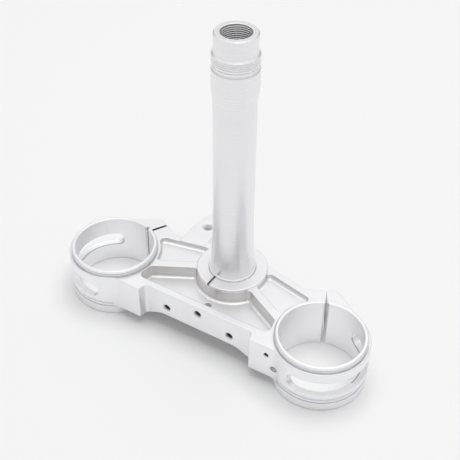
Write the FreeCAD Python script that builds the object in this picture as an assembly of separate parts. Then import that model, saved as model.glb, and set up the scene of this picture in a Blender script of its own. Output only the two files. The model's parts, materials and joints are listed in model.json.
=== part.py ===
import FreeCAD
import Part
import math
import os

# Lower fork clamp of a motorcycle, with its steering stem pressed in.
# Lengths in millimetres, angles in degrees.
# X runs from fork to fork, Y points to the rear of the motorcycle, Z up along the stem.
# Heights below are counted from the lower ends of the fork sleeves. The finished solids
# are then lowered, so that the origin lies on the stem axis in the hub's bearing face.

# Where the two fork legs stand
fork_half_spacing = 90.0
fork_offset = 28.2
fork_bore_radius = 30.0
clamp_wall = 5.2
bore_mouth_chamfer = 0.6

# Heights of the machined plate
plate_bottom = 8.5
plate_top = 37.8
plate_edge_chamfer = 0.5

# Collar of a sleeve above the plate
collar_groove_height = 2.2
collar_groove_wall = 2.6
collar_lip_wall = 3.4
collar_lip_height = 0.5
collar_rim_wall = 2.2
collar_rim_height = 1.3

# Foot of a sleeve below the plate
foot_wall = 4.4
foot_height = 7.2
foot_line_height = 0.8
foot_line_wall = 3.4
foot_ridge_height = 1.9
foot_ridge_wall = 4.0
foot_groove_height = 2.9
foot_groove_wall = 3.2
foot_edge_chamfer = 0.7

# Hub round the stem
hub_radius = 27.1
hub_rise = 2.35
hub_edge_chamfer = 0.5
hub_notch_width = 1.7
hub_notch_depth = 1.6
hub_notch_x = 5.0

# Steering stem
stem_seat_radius = 17.8
stem_body_radius = 14.95
stem_bearing_radius = 16.25
stem_thread_radius = 15.85
stem_nose_radius = 14.75
stem_top = 237.0
stem_nose_length = 13.6
stem_thread_length = 6.7
stem_line_groove = 0.6
stem_line_depth = 0.45
stem_ridge_length = 1.3
stem_relief_length = 1.9
stem_relief_depth = 0.7
stem_bearing_length = 15.0
stem_bearing_taper = 8.0
stem_flare_height = 52.0
stem_wall = 4.4
stem_mouth_chamfer = 0.35
stem_edge_chamfer = 0.8
stem_foot_chamfer = 1.0
stem_ring_height = 1.2
stem_ring_step = 1.1
stem_ring_edge = 0.3

# Front rail and the raised pads beside it
rail_front = 21.3
rail_thickness = 5.2
pad_front = 28.3
pad_inner_reach = 42.4
pad_step_slope = 0.27
pad_inside_radius = 3.0
pad_corner_radius = 1.0
pad_blend_radius = 10.0

# Arch under the plate between the pads
arch_height = 6.5
arch_run_out = 14.5
arch_half_span = 47.0
arch_radius = 14.0

# Rear arms and clamp ears
rear_edge_at_stem = 21.5
rear_edge_at_fork = 30.3
ear_root_reach = 32.7
ear_root_radius = 14.0
ear_tip_reach = 11.0
ear_tip_back = 48.0
ear_tip_radius = 0.8

# Pockets in the upper face
pocket_depth = 10.4
rear_pocket_depth = 4.2
pocket_floor_radius = 2.4
pocket_ring_land = 0.5
pocket_end_radius = 5.0
pocket_corner_radius = 3.2
rib_width = 6.4
rib_start = 2.3
rib_aim = 18.0
rear_wall = 5.3
pocket_drain_radius = 2.7
pocket_drain_back = 9.5

# Slit and pinch screws of each clamp
slit_width = 2.2
slit_angle = 119.5
slit_shift = 4.9
slit_bevel = 1.4
pinch_reach = 10.4
pinch_clearance_radius = 3.3
pinch_head_radius = 5.5
pinch_head_seat = 7.5
pinch_thread_radius = 2.5
pinch_thread_depth = 11.0
pinch_pitch = 15.0

# Window in the outboard wall of each sleeve
window_floor_inside = 15.0
window_roof_inside = 26.75
window_floor_rise = 0.25
window_roof_rise = 0.57
window_start_angle = -94.0
window_end_angle = 56.0

# Tapped holes in the front face
front_hole_radius = 2.9
front_hole_mouth = 3.3
front_hole_depth = 16.0
front_hole_reach = 27.2
front_hole_height = 22.6
middle_hole_height = 30.5

# Two tapped holes in the right pad
pad_hole_radius = 1.9
pad_hole_reach = 28.3
pad_hole_height = 29.3
pad_hole_depth = 9.0
pad_hole_bevel = 0.3
low_hole_radius = 2.5
low_hole_reach = 21.9
low_hole_height = 18.0
low_hole_depth = 4.0

# Lug behind the left arm
lug_left = 51.8
lug_width = 20.0
lug_back = 49.0
lug_taper = 4.6
lug_thickness = 14.0
lug_rise = 0.7
lug_end_radius = 6.0
lug_hole_x = 41.5
lug_hole_y = 30.8
lug_hole_radius = 3.6
lug_hole_mouth = 4.7

# Derived places
ring_radius = fork_bore_radius + clamp_wall
lug_top = plate_top + lug_rise
collar_lip_top = plate_top + collar_groove_height + collar_lip_height
sleeve_height = collar_lip_top + collar_rim_height
hub_top = plate_top + hub_rise
stem_flare_start = hub_top + stem_flare_height
fork_y = -fork_offset
rail_y = fork_y - rail_front
pad_y = fork_y - pad_front
margin = 5.0


def vec(x, y, z=0.0):
    return FreeCAD.Vector(x, y, z)


def prism(face, bottom, top):
    """A flat face at z = 0, raised into a solid between two heights."""
    solid = face.extrude(vec(0, 0, top - bottom))
    solid.translate(vec(0, 0, bottom))
    return solid


def rounded_face(corners):
    """A face from corners (x, y, radius), each rounded by an arc tangent to both sides."""
    count = len(corners)
    cuts = []
    for i in range(count):
        x, y, radius = corners[i]
        here = vec(x, y)
        before = vec(corners[i - 1][0], corners[i - 1][1])
        after = vec(corners[(i + 1) % count][0], corners[(i + 1) % count][1])
        if radius <= 0:
            cuts.append((here, None, here))
            continue
        back = (before - here).normalize()
        ahead = (after - here).normalize()
        half = back.getAngle(ahead) / 2
        reach = radius / math.tan(half)
        middle = (back + ahead).normalize()
        centre = here + middle * (radius / math.sin(half))
        cuts.append((here + back * reach, centre - middle * radius, here + ahead * reach))
    edges = []
    for i in range(count):
        start, over, end = cuts[i]
        if over is not None:
            edges.append(Part.Arc(start, over, end).toShape())
        nxt = cuts[(i + 1) % count][0]
        if end.distanceToPoint(nxt) > 1e-6:
            edges.append(Part.makeLine(end, nxt))
    return Part.Face(Part.Wire(edges))


def turned(profile, x=0.0, y=0.0, sweep=360.0):
    """A solid of revolution about a vertical axis, from a closed profile of (radius, z)."""
    points = [vec(r, 0, z) for r, z in profile]
    points.append(points[0])
    solid = Part.Face(Part.makePolygon(points)).revolve(vec(0, 0), vec(0, 0, 1), sweep)
    solid.translate(vec(x, y))
    return solid


def round_bar(radius, start, direction, length):
    return Part.makeCylinder(radius, length, start, direction)


def mirrored(shape):
    return shape.mirror(vec(0, 0), vec(1, 0))


def both(shape):
    """A shape made for the right fork, together with its mirror image for the left one."""
    return [shape, mirrored(shape)]


def upright_edges(solid):
    """The straight vertical edges of a prism."""
    found = []
    for edge in solid.Edges:
        a = edge.Vertexes[0].Point
        b = edge.Vertexes[-1].Point
        if abs(a.x - b.x) < 1e-4 and abs(a.y - b.y) < 1e-4 and abs(a.z - b.z) > margin:
            found.append(edge)
    return found


def flat_edges(solid, height):
    """The edges of a solid that lie in one horizontal plane."""
    box = [(edge, edge.BoundBox) for edge in solid.Edges]
    return [e for e, b in box if abs(b.ZMin - height) < 1e-4 and abs(b.ZMax - height) < 1e-4]


def line_y(x, at_stem, at_fork):
    """Height of a straight line in plan that has given Y over the stem axis and the fork axis."""
    return at_stem + (at_fork - at_stem) * x / fork_half_spacing


def sleeve():
    """One fork sleeve with its collar above the plate and its grooved foot, solid inside."""
    b = fork_bore_radius
    groove_top = plate_top + collar_groove_height
    line_top = foot_height + foot_line_height
    ridge_top = line_top + foot_ridge_height
    groove_end = ridge_top + foot_groove_height
    bevel = plate_edge_chamfer
    profile = [
        (0, 0),
        (b + foot_wall - foot_edge_chamfer, 0),
        (b + foot_wall, foot_edge_chamfer),
        (b + foot_wall, foot_height),
        (b + foot_line_wall, foot_height),
        (b + foot_line_wall, line_top),
        (b + foot_ridge_wall, line_top),
        (b + foot_ridge_wall, ridge_top),
        (b + foot_groove_wall, ridge_top),
        (b + foot_groove_wall, groove_end),
        (ring_radius, groove_end),
        (ring_radius, plate_top - bevel),
        (ring_radius - bevel, plate_top),
        (b + collar_groove_wall, plate_top),
        (b + collar_groove_wall, groove_top),
        (b + collar_lip_wall, groove_top),
        (b + collar_lip_wall, collar_lip_top),
        (b + collar_rim_wall, sleeve_height),
        (0, sleeve_height),
    ]
    return turned(profile, fork_half_spacing, fork_y)


def fork_bore():
    """The cutter for one bore, with a small chamfer at each mouth."""
    b = fork_bore_radius
    c = bore_mouth_chamfer
    profile = [
        (0, -margin),
        (b + c + margin, -margin),
        (b, c),
        (b, sleeve_height - c),
        (b + c + margin, sleeve_height + margin),
        (0, sleeve_height + margin),
    ]
    return turned(profile, fork_half_spacing, fork_y)


def ear_tangent():
    """Where the straight rear side of a clamp ear runs onto the ring, seen from above."""
    tip_x = fork_half_spacing - ear_tip_reach
    tip_y = fork_y + ear_tip_back
    run = math.hypot(ear_tip_reach, ear_tip_back)
    towards_tip = math.atan2(tip_y - fork_y, tip_x - fork_half_spacing)
    swing = math.acos(ring_radius / run)
    angle = towards_tip - swing
    x = fork_half_spacing + ring_radius * math.cos(angle)
    y = fork_y + ring_radius * math.sin(angle)
    return x, y


def plate_corners():
    """Right half of the plate's outline, from the middle of the front round to the rear."""
    pad_x = fork_half_spacing - pad_inner_reach
    step_x = pad_x - pad_step_slope * (pad_front - rail_front)
    drop = pad_front + pad_blend_radius
    across = math.sqrt((ring_radius + pad_blend_radius) ** 2 - drop ** 2)
    blend_x = fork_half_spacing - across
    share = ring_radius / (ring_radius + pad_blend_radius)
    touch_x = fork_half_spacing - across * share
    touch_y = fork_y - drop * share
    tangent_x, tangent_y = ear_tangent()
    tip_x = fork_half_spacing - ear_tip_reach
    tip_y = fork_y + ear_tip_back
    root_x = fork_half_spacing - ear_root_reach
    root_y = line_y(root_x, rear_edge_at_stem, fork_y + rear_edge_at_fork)
    blend = []
    start = math.pi / 2
    end = math.atan2(touch_y - (pad_y - pad_blend_radius), touch_x - blend_x)
    for i in range(7):
        t = start + (end - start) * i / 6
        x = blend_x + pad_blend_radius * math.cos(t)
        y = pad_y - pad_blend_radius + pad_blend_radius * math.sin(t)
        blend.append((x, y, 0))
    return [
        (step_x, rail_y, pad_inside_radius),
        (pad_x, pad_y, pad_corner_radius),
    ] + blend + [
        (fork_half_spacing, fork_y, 0),
        (tangent_x, tangent_y, 0),
        (tip_x, tip_y, ear_tip_radius),
        (root_x, root_y, ear_root_radius),
        (0, rear_edge_at_stem, 0),
    ]


def plate():
    """The flat plate with pads, rail, arms and ears, its upper and lower outline chamfered."""
    right = plate_corners()
    left = [(-x, y, r) for x, y, r in reversed(right[:-1])]
    body = prism(rounded_face(right + left), plate_bottom, plate_top)
    rim = flat_edges(body, plate_top) + flat_edges(body, plate_bottom)
    return body.makeChamfer(plate_edge_chamfer, rim)


def hub():
    """The hub that carries the stem, with its raised machined face."""
    r = hub_radius
    profile = [
        (0, plate_bottom),
        (r, plate_bottom),
        (r, hub_top - hub_edge_chamfer),
        (r - hub_edge_chamfer, hub_top),
        (0, hub_top),
    ]
    return turned(profile)


def lug():
    """The lug behind the left arm, with the tapped hole that a bracket bolts to."""
    inner = lug_left - lug_width
    root = line_y(lug_left, rear_edge_at_stem, fork_y + rear_edge_at_fork) - rear_wall - margin / 2
    outline = rounded_face([
        (-lug_left, root, 0),
        (-inner, root, 0),
        (-inner, lug_back, lug_end_radius),
        (-lug_left + lug_taper, lug_back, lug_end_radius / 2),
        (-lug_left, lug_hole_y, lug_end_radius),
    ])
    body = prism(outline, plate_top - lug_thickness, lug_top)
    return body.makeChamfer(plate_edge_chamfer, flat_edges(body, lug_top))


def arch():
    """The cutter for the arch under the plate, which leaves the hub standing."""
    level = plate_bottom + arch_height
    low = plate_bottom - plate_edge_chamfer
    inner = arch_half_span - arch_run_out
    outer = arch_half_span + plate_edge_chamfer * arch_run_out / arch_height
    side = rounded_face([
        (-outer, low, 0),
        (outer, low, 0),
        (inner, level, arch_radius),
        (-inner, level, arch_radius),
    ])
    side.rotate(vec(0, 0), vec(1, 0), 90)
    depth = pad_front + fork_offset + lug_back + 4 * margin
    solid = side.extrude(vec(0, depth, 0))
    solid.translate(vec(0, pad_y - 2 * margin, 0))
    land = turned([
        (0, plate_bottom - margin),
        (hub_radius, plate_bottom - margin),
        (hub_radius, level + margin),
        (0, level + margin),
    ])
    return solid.cut(land)


def rib_edge(x, side):
    """Y of a rib's edge in plan: side -1 is its front edge and +1 its rear edge."""
    aim = fork_y - rib_aim
    slope = (rib_start - aim) / fork_half_spacing
    half = rib_width / 2 * math.hypot(1, slope)
    return line_y(x, rib_start, aim) + side * half


def sink(face, depth, corner_radius, end_radius, end_x):
    """A pocket cutter: its upright corners are rounded, and so is the line round its floor."""
    floor = plate_top - depth
    solid = prism(face, floor, plate_top + margin)
    far = []
    near = []
    for edge in upright_edges(solid):
        x = edge.Vertexes[0].Point.x
        y = edge.Vertexes[0].Point.y
        if abs(x) > end_x and y < rail_y + rail_thickness + end_radius:
            far.append(edge)
        else:
            near.append(edge)
    if far:
        solid = solid.makeFillet(end_radius, far)
        near = [e for e in upright_edges(solid) if any(same_place(e, n) for n in near)]
    solid = solid.makeFillet(corner_radius, near)
    return solid.makeFillet(pocket_floor_radius, flat_edges(solid, floor))


def same_place(a, b):
    p = a.Vertexes[0].Point
    q = b.Vertexes[0].Point
    return math.hypot(p.x - q.x, p.y - q.y) < 1e-3


def disc(radius, x, y):
    return Part.Face(Part.Wire(Part.makeCircle(radius, vec(x, y))))


def front_pocket():
    """The wide pocket between the rail, the ribs, the hub and both rings."""
    front = rail_y + rail_thickness
    outer = fork_half_spacing - fork_bore_radius
    face = Part.Face(Part.makePolygon([
        vec(-outer, front),
        vec(outer, front),
        vec(outer, rib_edge(outer, -1)),
        vec(0, rib_edge(0, -1)),
        vec(-outer, rib_edge(outer, -1)),
        vec(-outer, front),
    ]))
    face = face.cut(disc(hub_radius, 0, 0))
    for side in (1, -1):
        face = face.cut(disc(ring_radius + pocket_ring_land, side * fork_half_spacing, fork_y))
    face = max(face.Faces, key=lambda f: f.Area)
    return sink(face, pocket_depth, pocket_corner_radius, pocket_end_radius, hub_radius)


def rear_pocket():
    """The smaller pocket between a rib and the rear wall of its arm, on the right side."""
    outer = fork_half_spacing - fork_bore_radius + margin
    slope = (rear_edge_at_stem - fork_y - rear_edge_at_fork) / fork_half_spacing
    inset = rear_wall * math.hypot(1, slope)
    back_stem = rear_edge_at_stem - inset
    back_fork = fork_y + rear_edge_at_fork - inset
    face = Part.Face(Part.makePolygon([
        vec(0, rib_edge(0, 1)),
        vec(outer, rib_edge(outer, 1)),
        vec(outer, line_y(outer, back_stem, back_fork)),
        vec(0, back_stem),
        vec(0, rib_edge(0, 1)),
    ]))
    face = face.cut(disc(hub_radius, 0, 0))
    face = face.cut(disc(ring_radius + pocket_ring_land, fork_half_spacing, fork_y))
    face = max(face.Faces, key=lambda f: f.Area)
    r = pocket_corner_radius
    return sink(face, rear_pocket_depth, r, pocket_end_radius, fork_half_spacing)


def slit():
    """The cutter that splits the right clamp, bevelled where it opens into the bore."""
    angle = math.radians(slit_angle)
    along = vec(math.cos(angle), math.sin(angle))
    across = vec(along.y, -along.x)
    base = vec(fork_half_spacing, fork_y) + across * slit_shift
    length = ear_tip_back + margin
    half = slit_width / 2
    wall = math.sqrt(fork_bore_radius ** 2 - slit_shift ** 2)
    mouth = wall - slit_bevel
    face = Part.Face(Part.makePolygon([
        base + across * half + along * (wall - margin),
        base + across * (half + slit_bevel) + along * (wall - margin),
        base + across * (half + slit_bevel) + along * mouth,
        base + across * half + along * (wall + slit_bevel),
        base + across * half + along * length,
        base - across * half + along * length,
        base - across * half + along * (wall + slit_bevel),
        base - across * (half + slit_bevel) + along * mouth,
        base - across * (half + slit_bevel) + along * (wall - margin),
        base + across * half + along * (wall - margin),
    ]))
    return prism(face, -margin, sleeve_height + margin)


def pinch_holes():
    """The two screw holes across the right slit: counterbore, clearance, then thread."""
    angle = math.radians(slit_angle)
    along = vec(math.cos(angle), math.sin(angle))
    across = vec(along.y, -along.x)
    reach = fork_bore_radius + pinch_reach
    middle = (plate_bottom + plate_top) / 2
    cuts = []
    for step in (-0.5, 0.5):
        centre = vec(fork_half_spacing, fork_y) + across * slit_shift + along * reach
        centre.z = middle + step * pinch_pitch
        cuts.append(round_bar(pinch_head_radius, centre + across * pinch_head_seat, across, 6 * margin))
        cuts.append(round_bar(pinch_clearance_radius, centre, across, pinch_head_seat + margin))
        cuts.append(round_bar(pinch_thread_radius, centre, across * -1, pinch_thread_depth))
    return cuts


def window():
    """The long window in the outboard wall of the right sleeve, whose roof and floor flare outwards."""
    inner = fork_bore_radius - margin
    outer = ring_radius + margin
    profile = [
        (inner, window_line(inner, window_floor_inside, window_floor_rise)),
        (outer, window_line(outer, window_floor_inside, window_floor_rise)),
        (outer, window_line(outer, window_roof_inside, window_roof_rise)),
        (inner, window_line(inner, window_roof_inside, window_roof_rise)),
    ]
    belt = turned(profile, 0, 0, window_end_angle - window_start_angle)
    belt.rotate(vec(0, 0), vec(0, 0, 1), window_start_angle)
    low = math.atan(window_floor_rise)
    high = math.atan(window_roof_rise)
    tilt = (low + high) / 2
    spread = math.tan((high - low) / 2)
    height = window_roof_inside - window_floor_inside
    apex_radius = fork_bore_radius - height / (window_roof_rise - window_floor_rise)
    apex_height = window_line(apex_radius, window_floor_inside, window_floor_rise)
    near = (inner - apex_radius) / math.cos(tilt)
    far = (outer - apex_radius) / math.cos(tilt)
    solids = [belt]
    for degrees in (window_start_angle, window_end_angle):
        turn = math.radians(degrees)
        aim = vec(math.cos(turn) * math.cos(tilt), math.sin(turn) * math.cos(tilt), math.sin(tilt))
        apex = vec(apex_radius * math.cos(turn), apex_radius * math.sin(turn), apex_height)
        cone = Part.makeCone(near * spread, far * spread, far - near, apex + aim * near, aim)
        solids.append(cone)
    shape = solids[0].fuse(solids[1:])
    shape.translate(vec(fork_half_spacing, fork_y))
    return shape


def window_line(radius, at_bore, rise):
    """Height of a window's floor or roof at a distance from the fork axis."""
    return at_bore + rise * (radius - fork_bore_radius)


def tapped(x, y, z, radius, mouth, depth):
    """A hole milled rearwards into the front face, with a countersunk mouth and a flat end."""
    profile = [
        (0, margin),
        (mouth + margin, margin),
        (mouth, 0),
        (radius, radius - mouth),
        (radius, -depth),
        (0, -depth),
    ]
    cutter = turned(profile)
    cutter.rotate(vec(0, 0), vec(1, 0), 90)
    cutter.translate(vec(x, y, z))
    return cutter


def front_holes():
    """All holes that are drilled into the front of the rail and of the right pad."""
    r = front_hole_radius
    mouth = front_hole_mouth
    through = rail_thickness + pocket_floor_radius
    cuts = []
    for x in (-front_hole_reach, front_hole_reach):
        cuts.append(tapped(x, rail_y, front_hole_height, r, mouth, front_hole_depth))
    cuts.append(tapped(0, rail_y, middle_hole_height, r, mouth, through))
    x = fork_half_spacing - pad_hole_reach
    r = pad_hole_radius
    cuts.append(tapped(x, pad_y, pad_hole_height, r, r + pad_hole_bevel, pad_hole_depth))
    x = fork_half_spacing - low_hole_reach
    r = low_hole_radius
    cuts.append(tapped(x, pad_y, low_hole_height, r, r + pad_hole_bevel, low_hole_depth))
    return cuts


def stem_socket():
    """The bore of the hub that the stem is pressed into, chamfered at its upper mouth."""
    r = stem_seat_radius
    c = hub_edge_chamfer
    profile = [
        (0, plate_bottom - margin),
        (r, plate_bottom - margin),
        (r, hub_top - c),
        (r + c + margin, hub_top + margin),
        (0, hub_top + margin),
    ]
    return turned(profile)


def hub_notch():
    """The narrow notch milled across the front of the hub's raised face."""
    cutter = Part.makeBox(hub_notch_width, hub_radius + margin, hub_notch_depth + margin)
    x = -hub_notch_x - hub_notch_width / 2
    cutter.translate(vec(x, -hub_radius - margin, hub_top - hub_notch_depth))
    return cutter


def lug_hole():
    """The tapped hole down through the lug, countersunk at its upper mouth."""
    drop = lug_hole_mouth - lug_hole_radius
    profile = [
        (0, plate_top - lug_thickness - margin),
        (lug_hole_radius, plate_top - lug_thickness - margin),
        (lug_hole_radius, lug_top - drop),
        (lug_hole_mouth + margin, lug_top + margin),
        (0, lug_top + margin),
    ]
    return turned(profile, -lug_hole_x, lug_hole_y)


def drain():
    """The hole through the floor of the front pocket, on the middle line behind the rail."""
    y = rail_y + rail_thickness + pocket_drain_back
    return round_bar(pocket_drain_radius, vec(0, y, plate_bottom - margin), vec(0, 0, 1), plate_top)


def yoke():
    """The whole machined clamp."""
    parts = both(sleeve()) + [hub(), lug()]
    body = plate().fuse(parts).removeSplitter()
    cuts = both(fork_bore()) + [stem_socket(), arch(), front_pocket()]
    cuts += both(rear_pocket())
    cuts += both(window())
    cuts += both(slit())
    for hole in pinch_holes():
        cuts += both(hole)
    cuts += front_holes()
    cuts += [hub_notch(), lug_hole(), drain()]
    for cutter in cuts:
        body = body.cut(cutter)
    return body.removeSplitter()


def stem():
    """The hollow steering stem: seat, flare, body, bearing seat, thread and plain nose."""
    bore = stem_nose_radius - stem_wall
    nose_end = stem_top - stem_nose_length
    step = stem_thread_radius - stem_nose_radius
    thread_top = nose_end - step
    thread_end = thread_top - stem_thread_length
    groove_end = thread_end - stem_line_groove
    ridge_end = groove_end - stem_ridge_length
    relief_end = ridge_end - stem_relief_length
    bearing_end = relief_end - stem_bearing_length
    taper_end = bearing_end - stem_bearing_taper
    relief_radius = stem_thread_radius - stem_relief_depth
    c = stem_edge_chamfer
    foot = stem_seat_radius - stem_ring_step
    flare = foot - stem_body_radius
    low = hub_top + stem_ring_height
    high = stem_flare_start
    arc_radius = ((high - low) ** 2 + flare ** 2) / (2 * flare)
    half = (low + high) / 2
    bulge = stem_body_radius + arc_radius - math.sqrt(arc_radius ** 2 - (high - half) ** 2)
    upper = [
        (stem_body_radius, high),
        (stem_body_radius, taper_end),
        (stem_bearing_radius, bearing_end),
        (stem_bearing_radius, relief_end),
        (relief_radius, relief_end),
        (relief_radius, ridge_end),
        (stem_thread_radius, ridge_end),
        (stem_thread_radius, groove_end),
        (stem_thread_radius - stem_line_depth, groove_end),
        (stem_thread_radius - stem_line_depth, thread_end),
        (stem_thread_radius, thread_end),
        (stem_thread_radius, thread_top),
        (stem_nose_radius, nose_end),
        (stem_nose_radius, stem_top - c),
        (stem_nose_radius - c, stem_top),
        (bore + stem_mouth_chamfer, stem_top),
        (bore, stem_top - stem_mouth_chamfer),
        (bore, plate_bottom),
        (stem_seat_radius - stem_foot_chamfer, plate_bottom),
        (stem_seat_radius, plate_bottom + stem_foot_chamfer),
        (stem_seat_radius, low - stem_ring_edge),
        (stem_seat_radius - stem_ring_edge, low),
        (foot, low),
    ]
    points = [vec(r, 0, z) for r, z in upper]
    edges = [Part.makeLine(points[i], points[i + 1]) for i in range(len(points) - 1)]
    edges.append(Part.Arc(points[-1], vec(bulge, 0, half), points[0]).toShape())
    return Part.Face(Part.Wire(edges)).revolve(vec(0, 0), vec(0, 0, 1), 360)


def main():
    os.makedirs("parts", exist_ok=True)
    nodes = {"lower_yoke": yoke(), "steering_stem": stem()}
    for name, shape in nodes.items():
        solid = shape.Solids[0]
        solid.translate(vec(0, 0, -hub_top))
        print(name, "solids", len(shape.Solids), "valid", solid.isValid(), "volume", round(solid.Volume))
        solid.exportStep("parts/" + name + ".step")


main()
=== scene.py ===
"""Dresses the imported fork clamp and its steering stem, and sets them in a plain pale studio.

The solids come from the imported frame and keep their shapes. This file gives them their
finishes, adds the screw threads that the solids leave plain, and makes floor, light and camera.
Lengths in the size fields are millimetres, in the frame of the solids: origin on the stem axis
in the hub's bearing face, X from fork to fork, Y to the rear, Z up. Heights that are said to be
over the feet count from the lower ends of the sleeves.
"""

from __future__ import annotations

import json
import logging
import math
from dataclasses import dataclass, field
from enum import Enum

import bpy
import numpy as np
from mathutils import Matrix, Vector

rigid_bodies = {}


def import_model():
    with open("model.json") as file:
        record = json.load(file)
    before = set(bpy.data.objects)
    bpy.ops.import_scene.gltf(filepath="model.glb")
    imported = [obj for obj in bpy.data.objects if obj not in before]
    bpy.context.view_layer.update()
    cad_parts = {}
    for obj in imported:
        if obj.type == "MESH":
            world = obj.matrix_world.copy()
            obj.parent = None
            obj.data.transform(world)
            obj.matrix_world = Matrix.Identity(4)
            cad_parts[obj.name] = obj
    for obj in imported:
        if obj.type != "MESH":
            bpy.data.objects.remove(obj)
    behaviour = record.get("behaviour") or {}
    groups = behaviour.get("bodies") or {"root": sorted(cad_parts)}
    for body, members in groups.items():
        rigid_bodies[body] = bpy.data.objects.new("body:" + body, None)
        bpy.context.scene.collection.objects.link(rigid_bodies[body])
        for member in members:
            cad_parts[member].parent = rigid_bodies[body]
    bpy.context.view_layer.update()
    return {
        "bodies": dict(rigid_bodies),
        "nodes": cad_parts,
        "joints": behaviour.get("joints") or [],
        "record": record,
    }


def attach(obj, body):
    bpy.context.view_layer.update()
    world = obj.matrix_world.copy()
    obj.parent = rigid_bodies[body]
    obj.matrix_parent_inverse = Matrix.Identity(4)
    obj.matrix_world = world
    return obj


log = logging.getLogger("fork_clamp")

Color = tuple[float, float, float]
Socket = bpy.types.NodeSocket

MM = 0.001
HUB_TOP = 40.15
BLACK = (0.0, 0.0, 0.0)


class Slot(Enum):
    """The record's material slots."""

    YOKE = "yoke"
    STEM = "stem"


class Side(Enum):
    """The right and left half of the clamp, as the sign of X."""

    RIGHT = 1
    LEFT = -1


class Thread(Enum):
    """Whether a thread stands out of a shaft or into a hole, as the sign of its teeth."""

    OUTSIDE = 1
    INSIDE = -1


class NodeDesk:
    """A node tree, with short calls for its nodes, links and sums."""

    def __init__(self, tree: bpy.types.NodeTree) -> None:
        """Takes the tree to work on."""
        self.tree = tree

    def feed(self, target: Socket, value: object) -> None:
        """Links a socket into an input, or sets the input's value.

        Args:
            target: The input.
            value: A socket, a number, or a colour of three numbers.
        """
        if isinstance(value, bpy.types.NodeSocket):
            self.tree.links.new(value, target)
        elif isinstance(value, tuple):
            target.default_value = (*value, 1.0)
        else:
            target.default_value = value

    def node(self, kind: str, **values: object) -> bpy.types.Node:
        """Adds a node, and links or sets the inputs that are named.

        Args:
            kind: The node's type.
            values: Input name, with underscores for spaces, to a socket or a value.

        Returns:
            The new node.
        """
        made = self.tree.nodes.new(kind)
        for key, value in values.items():
            self.feed(made.inputs[key.replace("_", " ")], value)
        return made

    def math(self, operation: str, *values: object) -> Socket:
        """Adds a Math node.

        Args:
            operation: The node's operation.
            values: One to three sockets or numbers.

        Returns:
            Its output.
        """
        made = self.tree.nodes.new("ShaderNodeMath")
        made.operation = operation
        for target, value in zip(made.inputs, values):
            self.feed(target, value)
        return made.outputs[0]

    def mix(self, share: object, first: object, second: object) -> Socket:
        """Mixes two numbers.

        Args:
            share: How much the second counts, from 0 to 1.
            first: The first, a socket or a number.
            second: The second, a socket or a number.

        Returns:
            The mixed number.
        """
        made = self.tree.nodes.new("ShaderNodeMix")
        made.data_type = "FLOAT"
        for index, value in ((0, share), (2, first), (3, second)):
            self.feed(made.inputs[index], value)
        return made.outputs[0]

    def split(self, vector: Socket) -> list[Socket]:
        """Splits a vector into its X, Y and Z."""
        return list(self.node("ShaderNodeSeparateXYZ", Vector=vector).outputs)

    def step(self, value: Socket, limits: tuple[float, float], ends: tuple[float, float]) -> Socket:
        """Runs a value smoothly from one end to the other between its limits.

        Args:
            value: The value.
            limits: Where the run starts and stops.
            ends: The results at the two limits, which hold beyond them.

        Returns:
            The result.
        """
        made = self.node("ShaderNodeMapRange", Value=value, From_Min=limits[0], From_Max=limits[1],
                         To_Min=ends[0], To_Max=ends[1])
        made.interpolation_type = "SMOOTHSTEP"
        return made.outputs["Result"]

    def both(self, *masks: Socket) -> Socket:
        """Joins masks, so that a place counts only where all of them do.

        Args:
            masks: The masks.

        Returns:
            Their product.
        """
        total = masks[0]
        for mask in masks[1:]:
            total = self.math("MULTIPLY", total, mask)
        return total

    def either(self, *masks: Socket) -> Socket:
        """Joins masks, so that a place counts where any of them does.

        Args:
            masks: The masks.

        Returns:
            Their maximum.
        """
        total = masks[0]
        for mask in masks[1:]:
            total = self.math("MAXIMUM", total, mask)
        return total

    def outside(self, mask: Socket) -> Socket:
        """Turns a mask round."""
        return self.math("SUBTRACT", 1.0, mask)


class GroupBuilder(NodeDesk):
    """Builds one shader node group."""

    def __init__(self, name: str) -> None:
        """Starts an empty group.

        Args:
            name: The group's name.
        """
        super().__init__(bpy.data.node_groups.new(name, "ShaderNodeTree"))
        self.inner = self.node("NodeGroupInput")
        self.outer = self.node("NodeGroupOutput")

    def number(self, name: str, value: float) -> Socket:
        """Adds a float input.

        Args:
            name: Its name.
            value: Its default value.

        Returns:
            Its socket inside the group.
        """
        made = self.tree.interface.new_socket(name, in_out="INPUT", socket_type="NodeSocketFloat")
        made.default_value = value
        return self.inner.outputs[name]

    def vector(self, name: str) -> Socket:
        """Adds a vector input and returns its socket inside the group."""
        self.tree.interface.new_socket(name, in_out="INPUT", socket_type="NodeSocketVector")
        return self.inner.outputs[name]

    def give(self, name: str, socket: Socket) -> None:
        """Adds a float output and links it to a socket inside the group."""
        self.tree.interface.new_socket(name, in_out="OUTPUT", socket_type="NodeSocketFloat")
        self.tree.links.new(socket, self.outer.inputs[name])


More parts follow.
